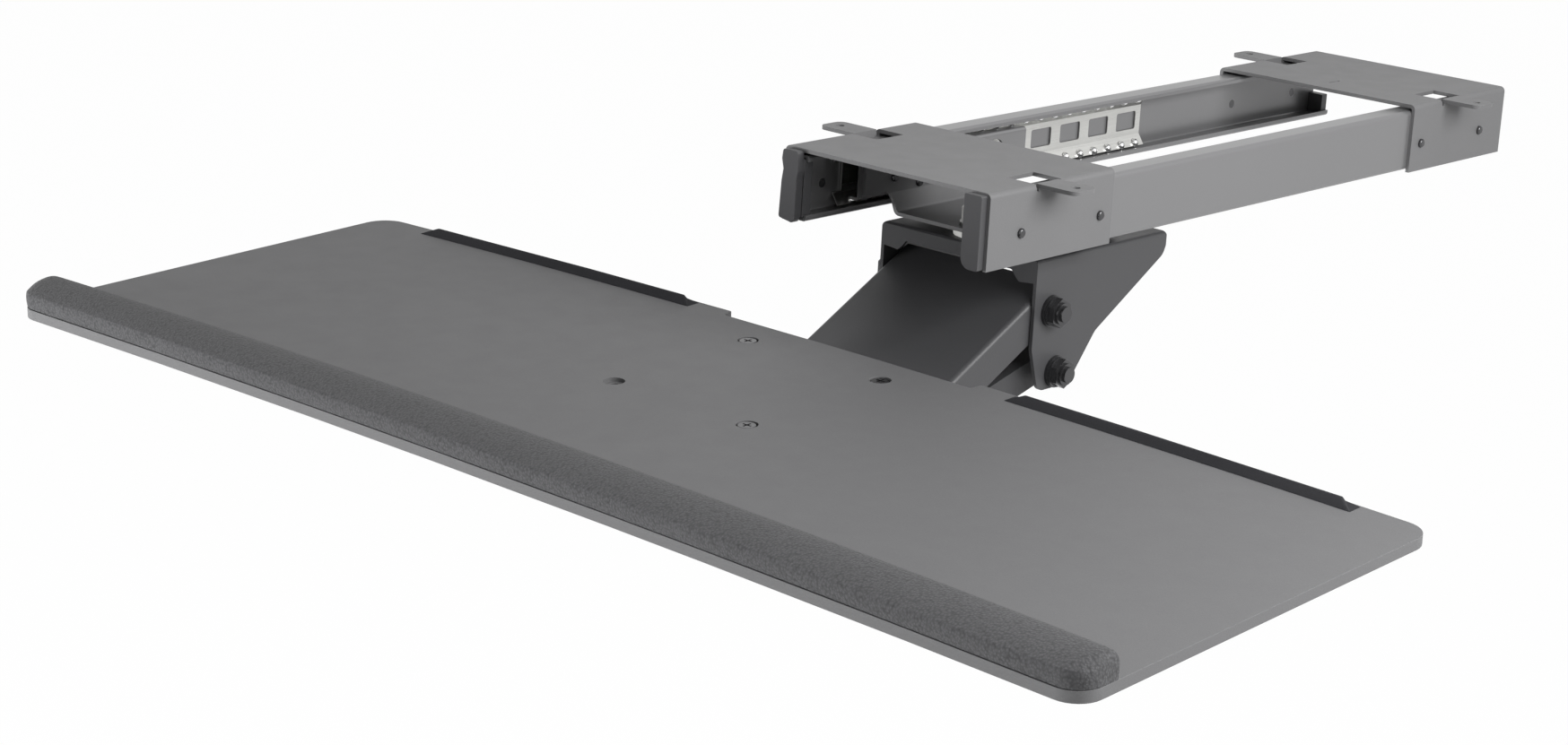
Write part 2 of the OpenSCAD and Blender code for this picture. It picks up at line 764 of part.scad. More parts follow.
// Flange nut of a cross bolt: hexagon with a round flange and a lock collar
module cross_nut(p, half_w) {
    washer_x = half_w + pivot_washer_t;
    difference() {
        union() {
            rod_x(washer_x, 1.4, nut_af + 2, p);
            hex_x(washer_x, nut_h - 1.4, nut_af, p);
            rod_x(washer_x, nut_h, nut_af - 2, p);
        }
        rod_x(washer_x - over, nut_h + 2 * over, pivot_d, p);
    }
}

module upper_rear_bolt() {
    color("#3c3c3e") cross_bolt(pivot_a, mount_w / 2);
}

module lower_rear_bolt() {
    color("#3c3c3e") cross_bolt(pivot_b, mount_w / 2);
}

module rear_pivot_washers() {
    color("#3c3c3e")
        for (p = [pivot_a, pivot_b])
            cross_washers(p, mount_w / 2);
}

module rear_pivot_nuts() {
    color("#3c3c3e")
        for (p = [pivot_a, pivot_b])
            cross_nut(p, mount_w / 2);
}

module upper_front_bolt() {
    color("#3c3c3e") cross_bolt(front_a, mount_w / 2);
}

module lower_front_bolt() {
    color("#3c3c3e") cross_bolt(front_b, mount_w / 2);
}

module front_pivot_washers() {
    color("#3c3c3e")
        for (p = [front_a, front_b])
            cross_washers(p, mount_w / 2);
}

module front_pivot_nuts() {
    color("#3c3c3e")
        for (p = [front_a, front_b])
            cross_nut(p, mount_w / 2);
}

// Wide channel, open below
module upper_arm() {
    flange_x = arm_w / 2 - sheet_t / 2;
    end = 9;
    color("#303032")
        at_arm(pivot_a)
            difference() {
                intersection() {
                    along_y(-arm_l - end, arm_l + 2 * end)
                        polygon(sheet(bent(both_sides([
                            [flange_x, -arm_skirt, 0],
                            [flange_x, arm_rise - sheet_t / 2, bend_r + sheet_t / 2]])), sheet_t));
                    along_x(-arm_w / 2 - over, arm_w + 2 * over)
                        polygon(rounded([
                            [end, arm_rise + 1, 0], [end, -arm_skirt, 6],
                            [-arm_l - end, -arm_skirt, 6], [-arm_l - end, arm_rise + 1, 0]]));
                }
                for (y = [0, -arm_l])
                    rod_x(-arm_w / 2 - over, arm_w + 2 * over, pivot_d + 2 * turn_play, [y, 0]);
            }
}

// Narrower channel that tapers forward from its rear pivot
module lower_link() {
    taper_l = 63;
    end = 8;
    half = link_w / 2 - sheet_t / 2;
    half_front = link_front_w / 2 - sheet_t / 2;
    side = [[half, end, 0], [half, -4, 6], [half_front, -taper_l, 20], [half_front, -arm_l - end, 0]];
    color("#3a3a3c")
        at_arm(pivot_b)
            difference() {
                union() {
                    for (s = [-1, 1])
                        on_side(s)
                            translate([0, 0, -link_skirt])
                                linear_extrude(link_rise + link_skirt)
                                    polygon(sheet(bent(side), sheet_t));
                    translate([0, 0, link_rise - sheet_t])
                        linear_extrude(sheet_t)
                            polygon(concat(bent(side), [for (i = [len(bent(side)) - 1:-1:0])
                                [-bent(side)[i].x, bent(side)[i].y]]));
                }
                for (y = [0, -arm_l])
                    rod_x(-link_w / 2 - over, link_w + 2 * over, pivot_d + 2 * turn_play, [y, 0]);
            }
}

// Spacers on a cross bolt, from the link's flange out to the ear
module link_spacers(p, half_w) {
    for (s = [-1, 1])
        on_side(s)
            translate([half_w + face_gap, p.x, p.y])
                rotate([0, 90, 0])
                    ring(spacer_d, pivot_d, ear_in - half_w - face_gap);
}

module rear_link_spacers() {
    color("#d0d0cc") link_spacers(pivot_b, link_w / 2);
}

module front_link_spacers() {
    color("#d0d0cc") link_spacers(front_b, link_front_w / 2);
}

// Two side plates that carry three cross bolts, joined by a front wall
module head_bracket() {
    wall_foot = [tilt_c.x, front_b.y + head_wall_rise];
    color("#444446")
        difference() {
            union() {
                for (x = [-mount_w / 2, ear_in])
                    along_x(x, sheet_t)
                        polygon(around([front_a, tilt_c, wall_foot, front_b], head_margin));
                translate([-ear_in - 1, tilt_c.x - head_margin, wall_foot.y])
                    cube([mount_w - 2 * sheet_t + 2, sheet_t, tilt_c.y - wall_foot.y]);
            }
            for (p = [front_a, front_b, tilt_c])
                rod_x(-mount_w / 2 - over, mount_w + 2 * over, pivot_d, p);
        }
}

// Board tilt

// Channel under the board: a plate with the screw holes and two ears for the tilt bolt
module tilt_plate() {
    ear_x = tilt_in + plate_t / 2;
    top = -board_t;
    c = [tilt_fore, -board_t - tilt_drop];
    color("#444446")
        at_board()
            difference() {
                intersection() {
                    along_y(plate_front, plate_l)
                        polygon(sheet(bent(both_sides([
                            [ear_x, c.y - ear_r - over, 0], [ear_x, top - plate_t / 2, 2]])), plate_t));
                    along_x(-tilt_out - over, 2 * (tilt_out + over))
                        polygon(rounded([
                            [plate_front, top + over, 0], [plate_front, top - 8, 3],
                            [c.x - ear_run, top - 8, 6],
                            [c.x - ear_r, c.y - ear_r, ear_r], [c.x + ear_r, c.y - ear_r, ear_r],
                            [plate_front + plate_l, top - 8, 4], [plate_front + plate_l, top + over, 0]]));
                }
                for (x = [-1, 1], y = screw_rows)
                    translate([x * screw_gap_x / 2, y, top - plate_t - over])
                        cylinder(d = screw_d, h = plate_t + 2 * over);
                rod_x(-tilt_out - over, 2 * (tilt_out + over), pivot_d + 2 * turn_play, c);
            }
}

// The tilt bolt's plain head is on the left; its right end holds the knob
module tilt_bolt() {
    washer_x = tilt_out + face_gap + pivot_washer_t;
    color("#3c3c3e") {
        rod_x(-washer_x, 2 * washer_x + knob_l - 4, pivot_d, tilt_c);
        hex_x(-washer_x - bolt_head_h, bolt_head_h, nut_af, tilt_c);
    }
}

module tilt_washers() {
    color("#c8c8ca") cross_washers(tilt_c, tilt_out + face_gap);
}

// Clamp knob with finger lobes and a blind bore
module tilt_knob() {
    knob_x = tilt_out + face_gap + pivot_washer_t + face_gap;
    lobes = 5;
    color("#2a2a2c")
        translate([knob_x, tilt_c.x, tilt_c.y])
            rotate([0, 90, 0])
                difference() {
                    union() {
                        cylinder(d = pivot_washer_d, h = 4);
                        translate([0, 0, 3]) cylinder(d = knob_d, h = knob_l - 3);
                    }
                    for (i = [0:lobes - 1])
                        rotate(i * 360 / lobes)
                            translate([knob_d / 2 + 3.2, 0, 3 - over])
                                cylinder(d = 13, h = knob_l + 2 * over);
                    translate([0, 0, -over])
                        cylinder(d = pivot_d + 2 * turn_play, h = knob_l - 3 + over);
                }
}

// Board

// How far along its width a place is, as 1 at the middle and 0 at the sides
function middle(u) = 1 - pow(2 * u / board_w, 2);
function front_edge(u) = front_sag * middle(u);
function rear_edge(u) = board_d + rear_bulge * middle(u);

function board_outline() =
    let (n = 11, half = board_w / 2, notch = recess_w / 2)
    let (side = half - corner_run, inner = notch + recess_run)
    let (rim = [for (i = [0:n]) side - (side - inner) * i / n])
    rounded(concat(
        [[-half, 0, front_r]],
        [for (i = [0:2 * n]) let (u = side * (i / n - 1)) [u, front_edge(u), 0]],
        [[half, 0, front_r], [half, board_d, rear_r]],
        [for (u = rim) [u, rear_edge(u), 0]],
        [[notch, rear_edge(notch), 1.5], [notch - 1, rear_edge(notch) - recess_d, 1.5]],
        [for (i = [1:7]) let (u = (notch - recess_run) * (1 - i / 4)) [u, rear_edge(u) - recess_d, 0]],
        [[1 - notch, rear_edge(notch) - recess_d, 1.5], [-notch, rear_edge(notch), 1.5]],
        [for (i = [n:-1:0]) [-rim[i], rear_edge(rim[i]), 0]],
        [[-half, board_d, rear_r]]), 8);

module tray_board() {
    color("#4c4c4e")
        at_board()
            difference() {
                translate([0, 0, -board_t]) linear_extrude(board_t) polygon(board_outline());
                for (x = [-1, 1], y = screw_rows)
                    translate([x * screw_gap_x / 2, y, 0]) {
                        translate([0, 0, -board_t - over])
                            cylinder(d = screw_d, h = board_t + 2 * over);
                        translate([0, 0, -screw_sink])
                            cylinder(d = screw_head_d + 2 * screw_sink_room, h = screw_sink + over);
                    }
            }
}

// Screws with sunk flat heads and a cross recess; the front left hole stays empty
module board_screws() {
    head_top = -0.3;
    head_edge = 0.4;
    tip = -board_t - plate_t - screw_nut_h - 1;
    color("#262628")
        at_board()
            for (p = board_screw_places)
                translate([p.x * screw_gap_x / 2, screw_rows[p.y], 0])
                    difference() {
                        union() {
                            translate([0, 0, tip]) cylinder(d = screw_d, h = head_top - tip - head_edge);
                            translate([0, 0, -screw_sink])
                                cylinder(d = screw_head_d, h = screw_sink + head_top - head_edge);
                            translate([0, 0, head_top - head_edge])
                                cylinder(d1 = screw_head_d, d2 = screw_head_d - 2 * head_edge, h = head_edge);
                        }
                        for (a = [0, 90])
                            rotate(a)
                                translate([-2.5, -0.5, head_top - 1])
                                    cube([5, 1, 1 + over]);
                    }
}

module board_screw_nuts() {
    color("#c8c8ca")
        at_board()
            for (p = board_screw_places)
                translate([p.x * screw_gap_x / 2, screw_rows[p.y], -board_t - plate_t - screw_nut_h])
                    difference() {
                        cylinder(d = 8 / cos(30), h = screw_nut_h, $fn = 6);
                        translate([0, 0, -over])
                            cylinder(d = screw_d, h = screw_nut_h + 2 * over);
                    }
}

// Palm rest

// Places along the palm rest's length from its end, close together where its corners round off
palm_stations = concat([for (s = [0, 0.03, 0.12, 0.28, 0.5, 0.75, 1]) s * front_r],
    [40, 80, 130, 190, 255]);

function palm_u() = let (half = board_w / 2) concat(
    [for (s = palm_stations) s - half], [0],
    [for (i = [len(palm_stations) - 1:-1:0]) half - palm_stations[i]]);
// Setback of the rounded front corners at a place
function palm_round(u) =
    let (in = abs(u) - board_w / 2 + front_r)
    in > 0 ? front_r - sqrt(front_r * front_r - in * in) : 0;
// Fall of the crown towards the end faces
function palm_fall(u) =
    let (in = 5 - (board_w / 2 - abs(u)), r = 5)
    in > 0 ? (r - sqrt(r * r - in * in)) * 0.5 : 0;
// Cross-section at a place: foot, upright front, top that rises towards the rear, upright rear face
function palm_ring(u) =
    let (vf = front_edge(u) + palm_round(u), vr = front_edge(u) + palm_d + palm_extra * middle(u))
    let (d = vr - vf, fall = palm_fall(u), hf = palm_front_h - fall, hr = palm_rear_h - fall)
    let (crown = palm_h - fall, bulge = 0.3)
    [for (p = [
        [vf + 0.5, 0], [vf + 0.1, 1], [vf - bulge, hf * 0.5], [vf - 0.1, hf - 1.8],
        [vf + 0.3, hf - 0.6], [vf + 1.5, hf + 0.1], [vf + d * 0.22, hf + (crown - hf) * 0.5],
        [vf + d * 0.42, hf + (crown - hf) * 0.8], [vf + d * 0.6, crown - 0.1],
        [vf + d * 0.78, crown], [vr - 1.8, hr + (crown - hr) * 0.4], [vr - 0.5, hr - 0.6],
        [vr, hr - 1.9], [vr - 0.1, hr * 0.5], [vr, 1], [vr - 0.4, 0]])
        [u, p.x, p.y]];

module palm_rest() {
    us = palm_u();
    rings = [for (u = us) palm_ring(u)];
    n = len(rings[0]);
    sides = [for (i = [0:len(us) - 2], k = [0:n - 1]) let (j = (k + 1) % n)
        each [[i * n + k, (i + 1) * n + j, (i + 1) * n + k], [i * n + k, i * n + j, (i + 1) * n + j]]];
    last = (len(us) - 1) * n;
    color("#38383a")
        at_board()
            polyhedron(
                points = [for (r = rings) each r],
                faces = concat(sides,
                    [for (k = [1:n - 2]) [0, k + 1, k]],
                    [for (k = [1:n - 2]) [last, last + k, last + k + 1]]));
}

// Stop strips

// Wedge-shaped strip along the rear edge, with sloping ends and a narrow flat ridge
module stop_strip() {
    n = 8;
    slope = 8.3;
    back = 0.8;
    rings = [for (i = [0:n])
        let (share = i / n, foot_u = strip_in + (strip_out - strip_in) * share)
        let (top_u = strip_in + slope + (strip_out - strip_in - 2 * slope) * share)
        let (vf = rear_edge(foot_u) - strip_d, vr = rear_edge(foot_u) - back, vt = rear_edge(top_u) - back)
        each [
            [foot_u, vf, 0], [foot_u, vr, 0], [top_u, vt - 0.6, 0.9],
            [top_u, vt - 2.8, strip_h], [top_u, vt - 4.4, strip_h]]];
    m = 5;
    sides = [for (i = [0:n - 1], k = [0:m - 1]) let (j = (k + 1) % m)
        each [[i * m + k, (i + 1) * m + j, (i + 1) * m + k], [i * m + k, i * m + j, (i + 1) * m + j]]];
    polyhedron(
        points = rings,
        faces = concat(sides,
            [for (k = [1:m - 2]) [0, k + 1, k]],
            [for (k = [1:m - 2]) [n * m, n * m + k, n * m + k + 1]]));
}

module left_stop_strip() {
    color("#2e2e30") at_board() on_side(-1) stop_strip();
}

module right_stop_strip() {
    color("#2e2e30") at_board() on_side(1) stop_strip();
}

front_bracket();
rear_bracket();
left_outer_rail();
right_outer_rail();
left_front_bumper();
right_front_bumper();
rail_end_stops();
front_bracket_rivets();
rear_bracket_rivets();
left_ball_cage();
right_ball_cage();
left_cage_balls();
right_cage_balls();
left_inner_slide();
right_inner_slide();
carriage_pan();
carriage_rivets();
swivel_bolt();
swivel_nut();
swivel_nut_washer();
swivel_bearing_disc();
swivel_head_washers();
arm_mount();
upper_rear_bolt();
lower_rear_bolt();
rear_pivot_washers();
rear_pivot_nuts();
upper_arm();
lower_link();
rear_link_spacers();
head_bracket();
upper_front_bolt();
lower_front_bolt();
front_pivot_washers();
front_pivot_nuts();
front_link_spacers();
tilt_plate();
tilt_bolt();
tilt_washers();
tilt_knob();
tray_board();
palm_rest();
left_stop_strip();
right_stop_strip();
board_screws();
board_screw_nuts();
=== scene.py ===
import json
from math import cos, radians, sin

import bmesh
import bpy
from mathutils import Matrix, Vector


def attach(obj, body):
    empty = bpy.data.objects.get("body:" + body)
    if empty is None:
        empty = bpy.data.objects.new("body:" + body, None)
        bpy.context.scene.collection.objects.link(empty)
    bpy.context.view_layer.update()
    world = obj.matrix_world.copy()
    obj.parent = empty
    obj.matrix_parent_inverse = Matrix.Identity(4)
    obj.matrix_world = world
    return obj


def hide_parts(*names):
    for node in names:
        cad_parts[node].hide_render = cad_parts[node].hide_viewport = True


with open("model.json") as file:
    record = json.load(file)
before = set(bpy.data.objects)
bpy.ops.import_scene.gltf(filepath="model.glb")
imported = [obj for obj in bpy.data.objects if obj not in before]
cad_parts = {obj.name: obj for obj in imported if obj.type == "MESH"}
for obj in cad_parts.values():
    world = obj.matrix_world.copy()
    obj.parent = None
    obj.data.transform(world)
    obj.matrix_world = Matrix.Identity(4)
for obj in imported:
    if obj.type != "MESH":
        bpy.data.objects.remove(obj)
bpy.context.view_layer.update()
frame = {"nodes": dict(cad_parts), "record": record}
scene = bpy.context.scene
nodes = frame["nodes"]
bodies = frame["record"]["behaviour"]["bodies"]
bodyOf = {node: body for body, members in bodies.items() for node in members}
slotOf = {entry["node"]: entry["material_slot"] for entry in frame["record"]["subparts"]}
print("frame loaded:", len(nodes), "nodes")


# Shared shader groups

def newGroup(name, inputs):
    group = bpy.data.node_groups.new(name, "ShaderNodeTree")
    for label, kind, value in inputs:
        socket = group.interface.new_socket(name=label, in_out="INPUT", socket_type=kind)
        socket.default_value = value
    for label, kind in (("Colour", "NodeSocketColor"), ("Roughness", "NodeSocketFloat"),
                        ("Height", "NodeSocketFloat")):
        group.interface.new_socket(name=label, in_out="OUTPUT", socket_type=kind)
    first = group.nodes.new("NodeGroupInput")
    last = group.nodes.new("NodeGroupOutput")
    coord = group.nodes.new("ShaderNodeTexCoord").outputs["Object"]
    return group, first.outputs, last.inputs, coord


def math(group, operation, first, second, clamp=False):
    node = group.nodes.new("ShaderNodeMath")
    node.operation = operation
    node.use_clamp = clamp
    for index, value in enumerate((first, second)):
        if isinstance(value, (int, float)):
            node.inputs[index].default_value = value
        else:
            group.links.new(value, node.inputs[index])
    return node.outputs[0]


def centred(group, value):
    # A pattern between 0 and 1, moved so that its middle is 0
    return math(group, "SUBTRACT", value, 0.5)


def noise(group, place, scale, detail, rough=0.5):
    node = group.nodes.new("ShaderNodeTexNoise")
    node.inputs["Detail"].default_value = detail
    node.inputs["Roughness"].default_value = rough
    group.links.new(place, node.inputs["Vector"])
    if isinstance(scale, (int, float)):
        node.inputs["Scale"].default_value = scale
    else:
        group.links.new(scale, node.inputs["Scale"])
    return node.outputs["Fac"]


def stretched(group, place, scale):
    node = group.nodes.new("ShaderNodeMapping")
    node.inputs["Scale"].default_value = scale
    group.links.new(place, node.inputs["Vector"])
    return node.outputs[0]


def scaledColour(group, colour, gain):
    level = group.nodes.new("ShaderNodeCombineColor")
    for channel in level.inputs:
        group.links.new(gain, channel)
    node = group.nodes.new("ShaderNodeMix")
    node.data_type = "RGBA"
    node.blend_type = "MULTIPLY"
    factor, first, second = node.inputs[0], node.inputs[6], node.inputs[7]
    factor.default_value = 1.0
    group.links.new(colour, first)
    group.links.new(level.outputs[0], second)
    return node.outputs[2]


paint = {"grainDetail": 3.0, "grainRough": 0.6, "slowScale": 9.0, "slowDetail": 2.0,
         "middleScale": 70.0, "middleDetail": 3.0, "middleShare": 0.4}


def paintedGrain():
    # Fine grain of a powder coat or a moulded skin, with a slow change of tone
    group, given, out, coord = newGroup("paintedGrain", [
        ("Colour", "NodeSocketColor", (0.1, 0.1, 0.1, 1)),
        ("Roughness", "NodeSocketFloat", 0.5),
        ("Grain per metre", "NodeSocketFloat", 1500.0),
        ("Tone change", "NodeSocketFloat", 0.1),
        ("Shine change", "NodeSocketFloat", 0.12),
        ("Speckle", "NodeSocketFloat", 0.1)])
    fine = noise(group, coord, given["Grain per metre"], paint["grainDetail"], paint["grainRough"])
    slow = noise(group, coord, paint["slowScale"], paint["slowDetail"])
    middle = centred(group, noise(group, coord, paint["middleScale"], paint["middleDetail"]))
    tone = math(group, "ADD", centred(group, slow),
                math(group, "MULTIPLY", middle, paint["middleShare"]))
    tone = math(group, "MULTIPLY", tone, given["Tone change"])
    speck = math(group, "MULTIPLY", centred(group, fine), given["Speckle"])
    gain = math(group, "ADD", math(group, "ADD", tone, speck), 1.0)
    shine = math(group, "ADD", given["Roughness"],
                 math(group, "MULTIPLY", middle, given["Shine change"]), True)
    group.links.new(scaledColour(group, given["Colour"], gain), out["Colour"])
    group.links.new(shine, out["Roughness"])
    group.links.new(fine, out["Height"])
    return group


steel = {"lineStretch": (1400.0, 18.0, 1400.0), "lineDetail": 3.0, "lineRough": 0.6,
         "stainScale": 45.0, "stainDetail": 3.0, "stainShare": 0.25, "shineShare": 0.6}


def drawnSteel():
    # Fine lines of rolled steel, long in the direction of the rails
    group, given, out, coord = newGroup("drawnSteel", [
        ("Colour", "NodeSocketColor", (0.6, 0.6, 0.6, 1)),
        ("Roughness", "NodeSocketFloat", 0.3),
        ("Line contrast", "NodeSocketFloat", 0.2)])
    lines = noise(group, stretched(group, coord, steel["lineStretch"]), 1.0,
                  steel["lineDetail"], steel["lineRough"])
    cloud = noise(group, coord, steel["stainScale"], steel["stainDetail"])
    change = math(group, "MULTIPLY", centred(group, lines), given["Line contrast"])
    stain = math(group, "MULTIPLY", centred(group, cloud), steel["stainShare"])
    gain = math(group, "ADD", math(group, "ADD", change, stain), 1.0)
    shine = math(group, "ADD", given["Roughness"],
                 math(group, "MULTIPLY", change, steel["shineShare"]), True)
    group.links.new(scaledColour(group, given["Colour"], gain), out["Colour"])
    group.links.new(shine, out["Roughness"])
    group.links.new(lines, out["Height"])
    return group


skin = {"cellSmoothness": 0.4, "cellMiddle": 0.45, "fineScale": 2600.0, "fineDetail": 3.0,
        "fineRough": 0.6, "fineHeight": 0.35, "fineShine": 0.15, "slowScale": 25.0,
        "slowDetail": 3.0, "slowShare": 0.12}


def pebbledSkin():
    # Pebbled skin of soft foam: small cells with finer grain between. Each cell's colour carries
    # painted light on its raised middle and painted shade in the hollows between cells.
    group, given, out, coord = newGroup("pebbledSkin", [
        ("Colour", "NodeSocketColor", (0.1, 0.1, 0.1, 1)),
        ("Roughness", "NodeSocketFloat", 0.8),
        ("Cells per metre", "NodeSocketFloat", 700.0),
        ("Cell contrast", "NodeSocketFloat", 0.4)])
    cell = group.nodes.new("ShaderNodeTexVoronoi")
    cell.feature = "SMOOTH_F1"
    cell.inputs["Smoothness"].default_value = skin["cellSmoothness"]
    group.links.new(coord, cell.inputs["Vector"])
    group.links.new(given["Cells per metre"], cell.inputs["Scale"])
    fine = noise(group, coord, skin["fineScale"], skin["fineDetail"], skin["fineRough"])
    slow = noise(group, coord, skin["slowScale"], skin["slowDetail"])
    height = math(group, "ADD", math(group, "SUBTRACT", 1.0, cell.outputs["Distance"]),
                  math(group, "MULTIPLY", fine, skin["fineHeight"]))
    # Painted light and shade: lighter where a cell's middle stands up, darker in the hollows
    # between cells
    shade = math(group, "MULTIPLY",
                 math(group, "SUBTRACT", skin["cellMiddle"], cell.outputs["Distance"]),
                 given["Cell contrast"])
    gain = math(group, "ADD", math(group, "ADD", shade, 1.0),
                math(group, "MULTIPLY", centred(group, slow), skin["slowShare"]))
    shine = math(group, "ADD", given["Roughness"],
                 math(group, "MULTIPLY", centred(group, fine), skin["fineShine"]), True)
    group.links.new(scaledColour(group, given["Colour"], gain), out["Colour"])
    group.links.new(shine, out["Roughness"])
    group.links.new(height, out["Height"])
    return group


grainGroup = paintedGrain()
steelGroup = drawnSteel()
skinGroup = pebbledSkin()
print("shader groups made")


# Finishes of this tray

def finish(name, group, colour, values, bump, metallic=0.0, specular=0.5, sheen=0.0):
    material = bpy.data.materials.new(name)
    material.use_nodes = True
    tree = material.node_tree
    shader = tree.nodes["Principled BSDF"]
    pattern = tree.nodes.new("ShaderNodeGroup")
    pattern.node_tree = group
    pattern.inputs["Colour"].default_value = (*colour, 1)
    for label, value in values.items():
        pattern.inputs[label].default_value = value
    relief = tree.nodes.new("ShaderNodeBump")
    relief.inputs["Strength"].default_value = bump["strength"]
    relief.inputs["Distance"].default_value = bump["depth"]
    tree.links.new(pattern.outputs["Height"], relief.inputs["Height"])
    tree.links.new(pattern.outputs["Colour"], shader.inputs["Base Color"])
    tree.links.new(pattern.outputs["Roughness"], shader.inputs["Roughness"])
    tree.links.new(relief.outputs["Normal"], shader.inputs["Normal"])
    shader.inputs["Metallic"].default_value = metallic
    shader.inputs["Specular IOR Level"].default_value = specular
    shader.inputs["Sheen Weight"].default_value = sheen
    return material


finishes = {
    "bracket_steel": finish(
        "bracketSteel", grainGroup, (0.108, 0.108, 0.11),
        {"Roughness": 0.5, "Grain per metre": 1500.0, "Tone change": 0.12, "Speckle": 0.22},
        {"strength": 0.35, "depth": 0.0002}, specular=0.4),
    "rail_steel": finish(
        "railSteel", grainGroup, (0.17, 0.17, 0.173),
        {"Roughness": 0.3, "Grain per metre": 1800.0, "Tone change": 0.04, "Shine change": 0.02,
         "Speckle": 0.04},
        {"strength": 0.04, "depth": 0.00005}, metallic=0.5),
    "bare_steel": finish(
        "bareSteel", steelGroup, (0.62, 0.62, 0.6),
        {"Roughness": 0.3, "Line contrast": 0.3},
        {"strength": 0.2, "depth": 0.00008}, metallic=1.0),
    "ball_steel": finish(
        "ballSteel", steelGroup, (0.8, 0.8, 0.8),
        {"Roughness": 0.1, "Line contrast": 0.05},
        {"strength": 0.02, "depth": 0.00002}, metallic=1.0),
    "bumper_plastic": finish(
        "bumperPlastic", grainGroup, (0.038, 0.038, 0.04),
        {"Roughness": 0.5, "Grain per metre": 1800.0, "Tone change": 0.1, "Speckle": 0.15},
        {"strength": 0.3, "depth": 0.00015}),
    "disc_plastic": finish(
        "discPlastic", grainGroup, (0.6, 0.6, 0.58),
        {"Roughness": 0.35, "Grain per metre": 900.0, "Tone change": 0.06, "Speckle": 0.03},
        {"strength": 0.1, "depth": 0.0001}),
    "arm_steel": finish(
        "armSteel", grainGroup, (0.039, 0.039, 0.041),
        {"Roughness": 0.42, "Grain per metre": 1300.0, "Tone change": 0.12, "Speckle": 0.2},
        {"strength": 0.3, "depth": 0.00018}, specular=0.35),
    "black_fastener": finish(
        "blackFastener", grainGroup, (0.085, 0.085, 0.088),
        {"Roughness": 0.22, "Grain per metre": 2200.0, "Tone change": 0.2, "Speckle": 0.2},
        {"strength": 0.25, "depth": 0.0001}, metallic=0.9),
    "knob_plastic": finish(
        "knobPlastic", grainGroup, (0.028, 0.028, 0.03),
        {"Roughness": 0.5, "Grain per metre": 1600.0, "Tone change": 0.1, "Speckle": 0.2},
        {"strength": 0.35, "depth": 0.00018}),
    "board_plastic": finish(
        "boardPlastic", grainGroup, (0.094, 0.094, 0.096),
        {"Roughness": 0.56, "Grain per metre": 1700.0, "Tone change": 0.07, "Speckle": 0.35},
        {"strength": 0.3, "depth": 0.00015}, specular=0.33),
    # Foam skin colour with painted shade in the hollows between its pebbles and painted light on
    # their middles
    "foam": finish(
        "foamSkin", skinGroup, (0.046, 0.046, 0.048),
        {"Roughness": 0.7, "Cells per metre": 900.0, "Cell contrast": 0.9},
        {"strength": 0.5, "depth": 0.0005}, specular=0.35, sheen=0.05),
    "strip_plastic": finish(
        "stripPlastic", grainGroup, (0.022, 0.022, 0.024),
        {"Roughness": 0.75, "Grain per metre": 1700.0, "Tone change": 0.1, "Speckle": 0.25},
        {"strength": 0.35, "depth": 0.00018}, specular=0.08),
}

for nodeName, node in nodes.items():
    for place in node.material_slots:
        place.material = finishes[slotOf[nodeName]]
    if not node.material_slots:
        node.data.materials.append(finishes[slotOf[nodeName]])
print("finishes given to", len(nodes), "nodes")


# Pieces with eased edges, each made from a merged copy of its node; sizes in metres

easing = {"mergeDistance": 0.00001, "flatAngle": 0.6, "sharpAngle": 35, "normalWeight": 100}
shadeAll = 1.0  # an area larger than any face of the tray, so that none is shaded flat


def mergedCopy(nodeName):
    mesh = bmesh.new()
    mesh.from_mesh(nodes[nodeName].data)
    bmesh.ops.remove_doubles(mesh, verts=mesh.verts, dist=easing["mergeDistance"])
    return mesh


def easeEdges(mesh, width, segments):
    bmesh.ops.dissolve_limit(mesh, angle_limit=radians(easing["flatAngle"]),
                             verts=mesh.verts, edges=mesh.edges)
    edges = [edge for edge in mesh.edges
             if len(edge.link_faces) == 2
             and edge.calc_face_angle(0) > radians(easing["sharpAngle"])]
    bmesh.ops.bevel(mesh, geom=edges, offset=width, offset_type="OFFSET", segments=segments,
                    profile=0.5, affect="EDGES", material=-1, clamp_overlap=True)


def finishPiece(mesh, pieceName, nodeName, smoothAngle=30, flatArea=shadeAll):
    # Faces larger than flatArea, in square metres, are shaded flat
    data = bpy.data.meshes.new(pieceName)
    mesh.normal_update()
    for face in mesh.faces:
        face.smooth = face.calc_area() < flatArea
    for edge in mesh.edges:
        edge.smooth = len(edge.link_faces) == 2 and edge.calc_face_angle(0) < radians(smoothAngle)
    mesh.to_mesh(data)
    mesh.free()
    piece = bpy.data.objects.new(pieceName, data)
    scene.collection.objects.link(piece)
    data.materials.append(finishes[slotOf[nodeName]])
    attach(piece, bodyOf[nodeName])
    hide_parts(nodeName)
    return piece


easedPieces = {
    "front_bracket": {"width": 0.0004, "segments": 2},
    "rear_bracket": {"width": 0.0004, "segments": 2},
    "left_outer_rail": {"width": 0.0003, "segments": 2},
    "right_outer_rail": {"width": 0.0003, "segments": 2},
    "left_front_bumper": {"width": 0.0009, "segments": 3},
    "right_front_bumper": {"width": 0.0009, "segments": 3},
    "carriage_pan": {"width": 0.0004, "segments": 2},
    "arm_mount": {"width": 0.0004, "segments": 2},
    "upper_arm": {"width": 0.0004, "segments": 2},
    "lower_link": {"width": 0.0004, "segments": 2},
    "head_bracket": {"width": 0.0004, "segments": 2},
    "tilt_plate": {"width": 0.0004, "segments": 2},
    "tilt_knob": {"width": 0.0012, "segments": 3},
    "left_stop_strip": {"width": 0.0005, "segments": 2},
    "right_stop_strip": {"width": 0.0005, "segments": 2},
    "tray_board": {"width": 0.0009, "segments": 3, "flatArea": 0.0004},
}

